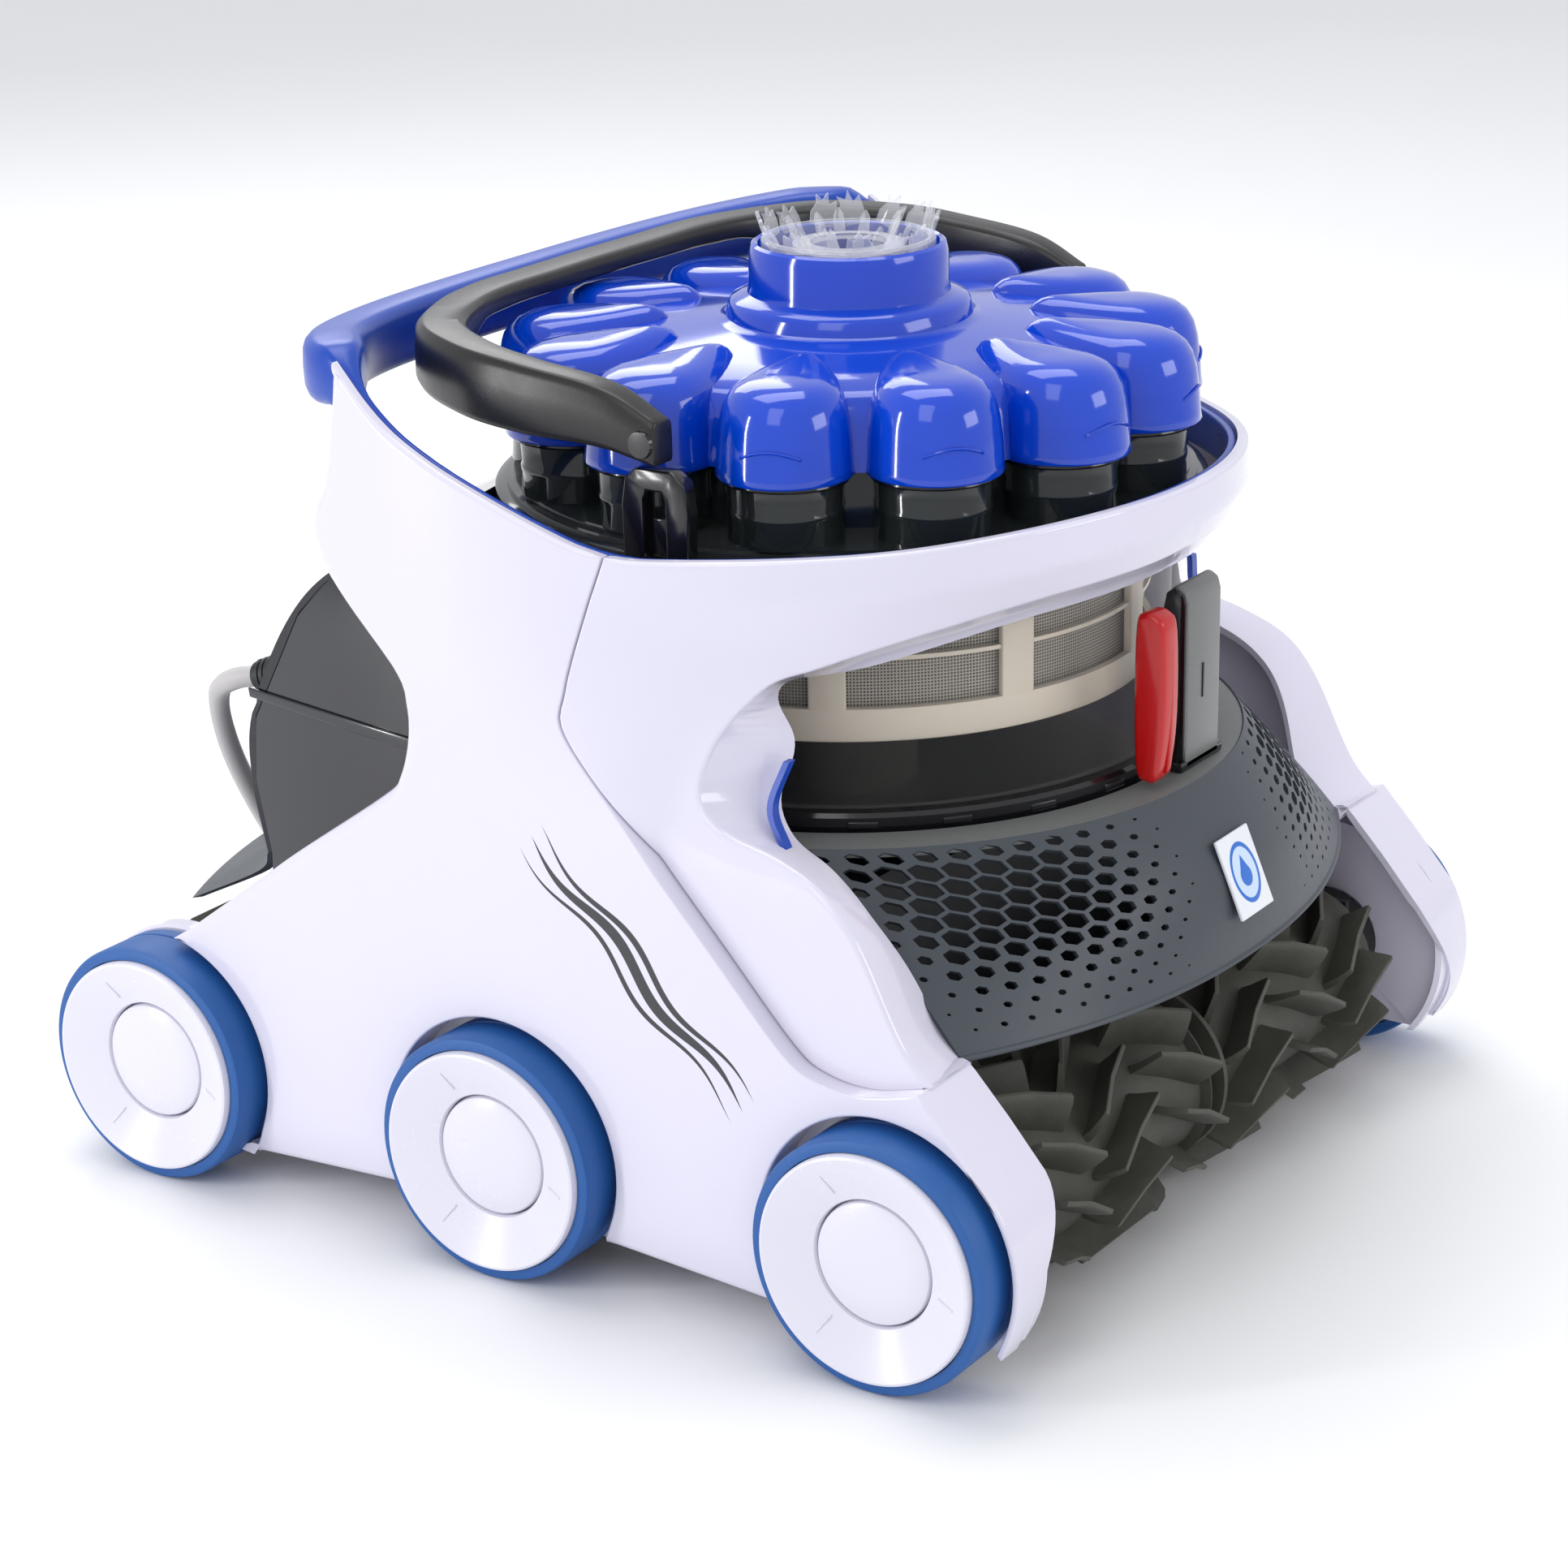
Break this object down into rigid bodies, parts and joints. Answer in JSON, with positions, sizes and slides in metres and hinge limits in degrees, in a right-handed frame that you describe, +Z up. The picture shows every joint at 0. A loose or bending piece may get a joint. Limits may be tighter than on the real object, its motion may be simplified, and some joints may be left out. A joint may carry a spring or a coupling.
{
  "type": "robotic pool cleaner",
  "caption": "Cabled robotic pool cleaner with coupled wheels, brush rollers, a lift-out cyclone canister under a bail, a release lever and a rear carrying handle.",
  "frame": {"origin": "on the floor below the centre of the body's box, halfway between the sides and the end wheels", "axes": "+Z up; -Y towards the front, where the release lever is; +X to the right-hand side seen from behind"},
  "size_m": [0.5365, 0.5675, 0.339],
  "materials": {
    "white_gloss": "glossy, faintly lavender white",
    "blue_gloss": "glossy royal blue",
    "blue_tyre": "satin blue tread rubber",
    "grey_satin": "satin dark blue-grey",
    "dark_gloss": "glossy dark grey",
    "black_gloss": "glossy black",
    "grey_rubber": "matt warm dark grey",
    "black_rubber": "matt black",
    "clear": "clear",
    "smoke": "smoked, translucent",
    "cream": "satin cream",
    "red_gloss": "glossy red",
    "cable": "satin light grey jacket"
  },
  "bodies": {
    "machine": {"side_panel_left": "white_gloss", "side_panel_right": "white_gloss", "front_frame": "white_gloss", "carry_frame": "blue_gloss", "chassis": "grey_satin", "base_plate": "grey_satin", "intake_duct": "grey_satin", "motor_pod": "black_gloss", "front_grille": "grey_satin", "rear_cover": "dark_gloss", "badge_plate": "white_gloss", "latch_bracket": "grey_satin", "drive_belt_left": "black_rubber", "drive_belt_right": "black_rubber", "cord": "cable", "cord_coil": "cable", "cord_plug": "black_gloss", "cord_gland": "grey_satin"},
    "canister": {"canister_base": "black_gloss", "canister_wall": "clear", "wall_seal": "black_rubber", "filter_basket": "cream", "filter_mesh": "cream", "cyclone_block": "smoke", "cyclone_cover": "blue_gloss", "outlet_guard": "clear", "handle_lug_left": "black_gloss", "handle_lug_right": "black_gloss"},
    "bail": {"canister_handle": "black_gloss"},
    "lever": {"release_lever": "red_gloss"},
    "flap": {"intake_flap": "black_rubber"},
    "impeller": {"pump_impeller": "black_gloss"},
    "wheel_front_left": {"tyre_front_left": "blue_tyre", "hub_front_left": "white_gloss", "cap_front_left": "white_gloss", "roller_core_front_left": "grey_satin", "brush_sleeve_front_left": "grey_rubber"},
    "wheel_middle_left": {"tyre_middle_left": "blue_tyre", "hub_middle_left": "white_gloss", "cap_middle_left": "white_gloss"},
    "wheel_rear_left": {"tyre_rear_left": "blue_tyre", "hub_rear_left": "white_gloss", "cap_rear_left": "white_gloss", "roller_core_rear_left": "grey_satin", "brush_sleeve_rear_left": "grey_rubber"},
    "pulley_left": {"drive_pulley_left": "grey_satin"},
    "wheel_front_right": {"tyre_front_right": "blue_tyre", "hub_front_right": "white_gloss", "cap_front_right": "white_gloss", "roller_core_front_right": "grey_satin", "brush_sleeve_front_right": "grey_rubber"},
    "wheel_middle_right": {"tyre_middle_right": "blue_tyre", "hub_middle_right": "white_gloss", "cap_middle_right": "white_gloss"},
    "wheel_rear_right": {"tyre_rear_right": "blue_tyre", "hub_rear_right": "white_gloss", "cap_rear_right": "white_gloss", "roller_core_rear_right": "grey_satin", "brush_sleeve_rear_right": "grey_rubber"},
    "pulley_right": {"drive_pulley_right": "grey_satin"}
  },
  "joints": [
    {"name": "canister_lift", "type": "slide", "parent": "machine", "child": "canister", "axis": [0, 0, 1], "range_m": [0, 0.2]},
    {"name": "bail_swing", "type": "hinge", "parent": "canister", "child": "bail", "pos_m": [0, -0.046, 0.284], "axis": [1, 0, 0], "range_deg": [0, 90]},
    {"name": "lever_press", "type": "hinge", "parent": "machine", "child": "lever", "pos_m": [-0.014, -0.161, 0.161], "axis": [1, 0, 0], "range_deg": [0, 20], "stiffness_Nm_per_rad": 0.08, "springref_deg": -17.19},
    {"name": "flap_open", "type": "hinge", "parent": "machine", "child": "flap", "pos_m": [0, -0.013, 0.105], "axis": [-1, 0, 0], "range_deg": [0, 45]},
    {"name": "impeller_spin", "type": "hinge", "parent": "machine", "child": "impeller", "pos_m": [0, 0.062, 0.1045], "axis": [0, 0, 1], "continuous": true},
    {"name": "wheel_front_left_spin", "type": "hinge", "parent": "machine", "child": "wheel_front_left", "pos_m": [-0.1755, -0.15, 0.043], "axis": [1, 0, 0], "continuous": true},
    {"name": "wheel_middle_left_spin", "type": "hinge", "parent": "machine", "child": "wheel_middle_left", "pos_m": [-0.1755, 0, 0.043], "axis": [1, 0, 0], "continuous": true},
    {"name": "wheel_rear_left_spin", "type": "hinge", "parent": "machine", "child": "wheel_rear_left", "pos_m": [-0.1755, 0.15, 0.043], "axis": [1, 0, 0], "continuous": true},
    {"name": "pulley_left_spin", "type": "hinge", "parent": "machine", "child": "pulley_left", "pos_m": [-0.147, 0.075, 0.043], "axis": [1, 0, 0], "continuous": true},
    {"name": "wheel_front_right_spin", "type": "hinge", "parent": "machine", "child": "wheel_front_right", "pos_m": [0.1755, -0.15, 0.043], "axis": [1, 0, 0], "continuous": true},
    {"name": "wheel_middle_right_spin", "type": "hinge", "parent": "machine", "child": "wheel_middle_right", "pos_m": [0.1755, 0, 0.043], "axis": [1, 0, 0], "continuous": true},
    {"name": "wheel_rear_right_spin", "type": "hinge", "parent": "machine", "child": "wheel_rear_right", "pos_m": [0.1755, 0.15, 0.043], "axis": [1, 0, 0], "continuous": true},
    {"name": "pulley_right_spin", "type": "hinge", "parent": "machine", "child": "pulley_right", "pos_m": [0.147, 0.075, 0.043], "axis": [1, 0, 0], "continuous": true}
  ],
  "couplings": [
    {"joint": "wheel_middle_left_spin", "follows": "wheel_front_left_spin", "ratio": 1},
    {"joint": "wheel_rear_left_spin", "follows": "wheel_front_left_spin", "ratio": 1},
    {"joint": "pulley_left_spin", "follows": "wheel_front_left_spin", "ratio": 1},
    {"joint": "wheel_middle_right_spin", "follows": "wheel_front_right_spin", "ratio": 1},
    {"joint": "wheel_rear_right_spin", "follows": "wheel_front_right_spin", "ratio": 1},
    {"joint": "pulley_right_spin", "follows": "wheel_front_right_spin", "ratio": 1}
  ]
}
